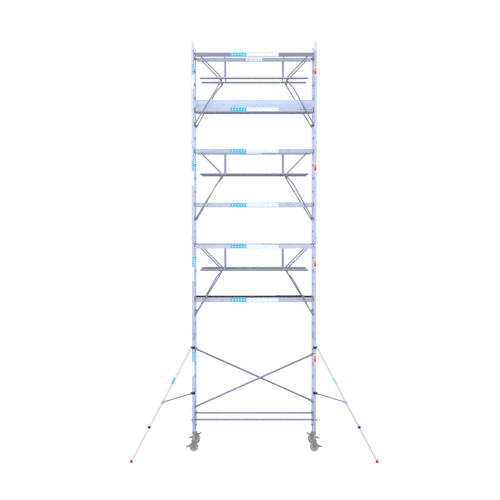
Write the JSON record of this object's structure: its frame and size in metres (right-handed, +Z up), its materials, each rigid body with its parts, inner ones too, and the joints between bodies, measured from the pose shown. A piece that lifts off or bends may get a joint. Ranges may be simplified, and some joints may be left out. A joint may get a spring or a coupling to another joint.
{
  "type": "mobile scaffold tower",
  "caption": "Mobile aluminium scaffold tower of stacked ladder frames with hatch platforms, guardrail frames, base braces, telescopic stabilisers and levelling castors with brakes.",
  "frame": {"origin": "on the floor under the centre of the whole footprint, stabilisers and castors included", "axes": "+X along the bay to the right end frames, +Y from the stabiliser side to the back, +Z up"},
  "size_m": [4.9012, 2.0468, 8.393],
  "materials": {
    "tube_aluminium": "extruded, mill finish",
    "brace_aluminium": "extruded, mill finish",
    "rail_aluminium": "extruded, mill finish",
    "platform_aluminium": "extruded, mill finish",
    "board_aluminium": "folded sheet, mill finish",
    "stabiliser_aluminium": "extruded, bright",
    "phenolic_plywood": "film-faced",
    "zinc_steel": "zinc plated",
    "cast_nut": "cast, zinc plated",
    "fork_steel": "pressed steel, zinc plated",
    "wheel_nylon": "moulded",
    "pedal_plastic": "moulded",
    "clamp_black": "cast, powder coated",
    "foot_rubber": "moulded"
  },
  "bodies": {
    "tower": {"frame_left_1": "tube_aluminium", "frame_left_2": "tube_aluminium", "frame_left_3": "tube_aluminium", "frame_left_4": "tube_aluminium", "frame_right_1": "tube_aluminium", "frame_right_2": "tube_aluminium", "frame_right_3": "tube_aluminium", "frame_right_4": "tube_aluminium", "locking_pins": "zinc_steel", "horizontal_brace_front": "brace_aluminium", "horizontal_brace_back": "brace_aluminium", "diagonal_brace_front": "brace_aluminium", "diagonal_brace_back": "brace_aluminium", "guardrail_front_1": "rail_aluminium", "guardrail_front_2": "rail_aluminium", "guardrail_front_3": "rail_aluminium", "guardrail_back_1": "rail_aluminium", "guardrail_back_2": "rail_aluminium", "guardrail_back_3": "rail_aluminium", "platform_1": "platform_aluminium", "platform_2": "platform_aluminium", "platform_3": "platform_aluminium", "deck_1": "phenolic_plywood", "deck_2": "phenolic_plywood", "deck_3": "phenolic_plywood", "toe_boards_long": "board_aluminium", "toe_boards_end": "board_aluminium"},
    "hatch_1": {"hatch_1": "phenolic_plywood"},
    "hatch_2": {"hatch_2": "phenolic_plywood"},
    "hatch_3": {"hatch_3": "phenolic_plywood"},
    "nut_front_left": {"spindle_nut_front_left": "cast_nut"},
    "spindle_front_left": {"spindle_front_left": "zinc_steel"},
    "fork_front_left": {"castor_fork_front_left": "fork_steel"},
    "wheel_front_left": {"castor_wheel_front_left": "wheel_nylon"},
    "pedal_front_left": {"brake_pedal_front_left": "pedal_plastic"},
    "nut_back_left": {"spindle_nut_back_left": "cast_nut"},
    "spindle_back_left": {"spindle_back_left": "zinc_steel"},
    "fork_back_left": {"castor_fork_back_left": "fork_steel"},
    "wheel_back_left": {"castor_wheel_back_left": "wheel_nylon"},
    "pedal_back_left": {"brake_pedal_back_left": "pedal_plastic"},
    "nut_front_right": {"spindle_nut_front_right": "cast_nut"},
    "spindle_front_right": {"spindle_front_right": "zinc_steel"},
    "fork_front_right": {"castor_fork_front_right": "fork_steel"},
    "wheel_front_right": {"castor_wheel_front_right": "wheel_nylon"},
    "pedal_front_right": {"brake_pedal_front_right": "pedal_plastic"},
    "nut_back_right": {"spindle_nut_back_right": "cast_nut"},
    "spindle_back_right": {"spindle_back_right": "zinc_steel"},
    "fork_back_right": {"castor_fork_back_right": "fork_steel"},
    "wheel_back_right": {"castor_wheel_back_right": "wheel_nylon"},
    "pedal_back_right": {"brake_pedal_back_right": "pedal_plastic"},
    "stabiliser_left": {"stabiliser_clamps_left": "clamp_black", "stabiliser_tube_left": "stabiliser_aluminium", "stabiliser_stay_left": "stabiliser_aluminium"},
    "leg_left": {"stabiliser_leg_left": "stabiliser_aluminium", "stabiliser_foot_left": "foot_rubber"},
    "stabiliser_right": {"stabiliser_clamps_right": "clamp_black", "stabiliser_tube_right": "stabiliser_aluminium", "stabiliser_stay_right": "stabiliser_aluminium"},
    "leg_right": {"stabiliser_leg_right": "stabiliser_aluminium", "stabiliser_foot_right": "foot_rubber"}
  },
  "joints": [
    {"name": "hatch_1_hinge", "type": "hinge", "parent": "tower", "child": "hatch_1", "pos_m": [0.76, 0.79541, 3.167], "axis": [-1, 0, 0], "range_deg": [0, 95]},
    {"name": "hatch_2_hinge", "type": "hinge", "parent": "tower", "child": "hatch_2", "pos_m": [0.76, 0.79541, 5.127], "axis": [-1, 0, 0], "range_deg": [0, 95]},
    {"name": "hatch_3_hinge", "type": "hinge", "parent": "tower", "child": "hatch_3", "pos_m": [0.76, 0.79541, 7.087], "axis": [-1, 0, 0], "range_deg": [0, 95]},
    {"name": "nut_front_left_turn", "type": "hinge", "parent": "tower", "child": "nut_front_left", "pos_m": [-1.25, 0.07941, 0.383], "axis": [0, 0, 1], "range_deg": [0, 8100]},
    {"name": "spindle_front_left_slide", "type": "slide", "parent": "tower", "child": "spindle_front_left", "axis": [0, 0, -1], "range_m": [0, 0.18]},
    {"name": "fork_front_left_swivel", "type": "hinge", "parent": "spindle_front_left", "child": "fork_front_left", "pos_m": [-1.25, 0.07941, 0.224], "axis": [0, 0, 1], "continuous": true},
    {"name": "wheel_front_left_roll", "type": "hinge", "parent": "fork_front_left", "child": "wheel_front_left", "pos_m": [-1.241, 0.07941, 0.0975], "axis": [0, 1, 0], "continuous": true},
    {"name": "pedal_front_left_rock", "type": "hinge", "parent": "fork_front_left", "child": "pedal_front_left", "pos_m": [-1.241, 0.07941, 0.16033], "axis": [0, 1, 0], "range_deg": [0, 26]},
    {"name": "nut_back_left_turn", "type": "hinge", "parent": "tower", "child": "nut_back_left", "pos_m": [-1.25, 0.9794, 0.383], "axis": [0, 0, 1], "range_deg": [0, 8100]},
    {"name": "spindle_back_left_slide", "type": "slide", "parent": "tower", "child": "spindle_back_left", "axis": [0, 0, -1], "range_m": [0, 0.18]},
    {"name": "fork_back_left_swivel", "type": "hinge", "parent": "spindle_back_left", "child": "fork_back_left", "pos_m": [-1.25, 0.9794, 0.224], "axis": [0, 0, 1], "continuous": true},
    {"name": "wheel_back_left_roll", "type": "hinge", "parent": "fork_back_left", "child": "wheel_back_left", "pos_m": [-1.241, 0.9794, 0.0975], "axis": [0, 1, 0], "continuous": true},
    {"name": "pedal_back_left_rock", "type": "hinge", "parent": "fork_back_left", "child": "pedal_back_left", "pos_m": [-1.241, 0.9794, 0.16033], "axis": [0, 1, 0], "range_deg": [0, 26]},
    {"name": "nut_front_right_turn", "type": "hinge", "parent": "tower", "child": "nut_front_right", "pos_m": [1.25, 0.07941, 0.383], "axis": [0, 0, 1], "range_deg": [0, 8100]},
    {"name": "spindle_front_right_slide", "type": "slide", "parent": "tower", "child": "spindle_front_right", "axis": [0, 0, -1], "range_m": [0, 0.18]},
    {"name": "fork_front_right_swivel", "type": "hinge", "parent": "spindle_front_right", "child": "fork_front_right", "pos_m": [1.25, 0.07941, 0.224], "axis": [0, 0, 1], "continuous": true},
    {"name": "wheel_front_right_roll", "type": "hinge", "parent": "fork_front_right", "child": "wheel_front_right", "pos_m": [1.241, 0.07941, 0.0975], "axis": [0, 1, 0], "continuous": true},
    {"name": "pedal_front_right_rock", "type": "hinge", "parent": "fork_front_right", "child": "pedal_front_right", "pos_m": [1.241, 0.07941, 0.16033], "axis": [0, -1, 0], "range_deg": [0, 26]},
    {"name": "nut_back_right_turn", "type": "hinge", "parent": "tower", "child": "nut_back_right", "pos_m": [1.25, 0.9794, 0.383], "axis": [0, 0, 1], "range_deg": [0, 8100]},
    {"name": "spindle_back_right_slide", "type": "slide", "parent": "tower", "child": "spindle_back_right", "axis": [0, 0, -1], "range_m": [0, 0.18]},
    {"name": "fork_back_right_swivel", "type": "hinge", "parent": "spindle_back_right", "child": "fork_back_right", "pos_m": [1.25, 0.9794, 0.224], "axis": [0, 0, 1], "continuous": true},
    {"name": "wheel_back_right_roll", "type": "hinge", "parent": "fork_back_right", "child": "wheel_back_right", "pos_m": [1.241, 0.9794, 0.0975], "axis": [0, 1, 0], "continuous": true},
    {"name": "pedal_back_right_rock", "type": "hinge", "parent": "fork_back_right", "child": "pedal_back_right", "pos_m": [1.241, 0.9794, 0.16033], "axis": [0, -1, 0], "range_deg": [0, 26]},
    {"name": "stabiliser_left_swing", "type": "hinge", "parent": "tower", "child": "stabiliser_left", "pos_m": [-1.25, 0.07941, 2.147], "axis": [0, 0, 1], "range_deg": [-40, 40]},
    {"name": "leg_left_slide", "type": "slide", "parent": "stabiliser_left", "child": "leg_left", "axis": [-0.4303, -0.3943, -0.812], "range_m": [0, 0.3]},
    {"name": "stabiliser_right_swing", "type": "hinge", "parent": "tower", "child": "stabiliser_right", "pos_m": [1.25, 0.07941, 2.147], "axis": [0, 0, 1], "range_deg": [-40, 40]},
    {"name": "leg_right_slide", "type": "slide", "parent": "stabiliser_right", "child": "leg_right", "axis": [0.4303, -0.3943, -0.812], "range_m": [0, 0.3]}
  ],
  "couplings": [
    {"joint": "spindle_front_left_slide", "follows": "nut_front_left_turn", "m_per_rad": 0.0012732},
    {"joint": "spindle_back_left_slide", "follows": "nut_back_left_turn", "m_per_rad": 0.0012732},
    {"joint": "spindle_front_right_slide", "follows": "nut_front_right_turn", "m_per_rad": 0.0012732},
    {"joint": "spindle_back_right_slide", "follows": "nut_back_right_turn", "m_per_rad": 0.0012732}
  ]
}
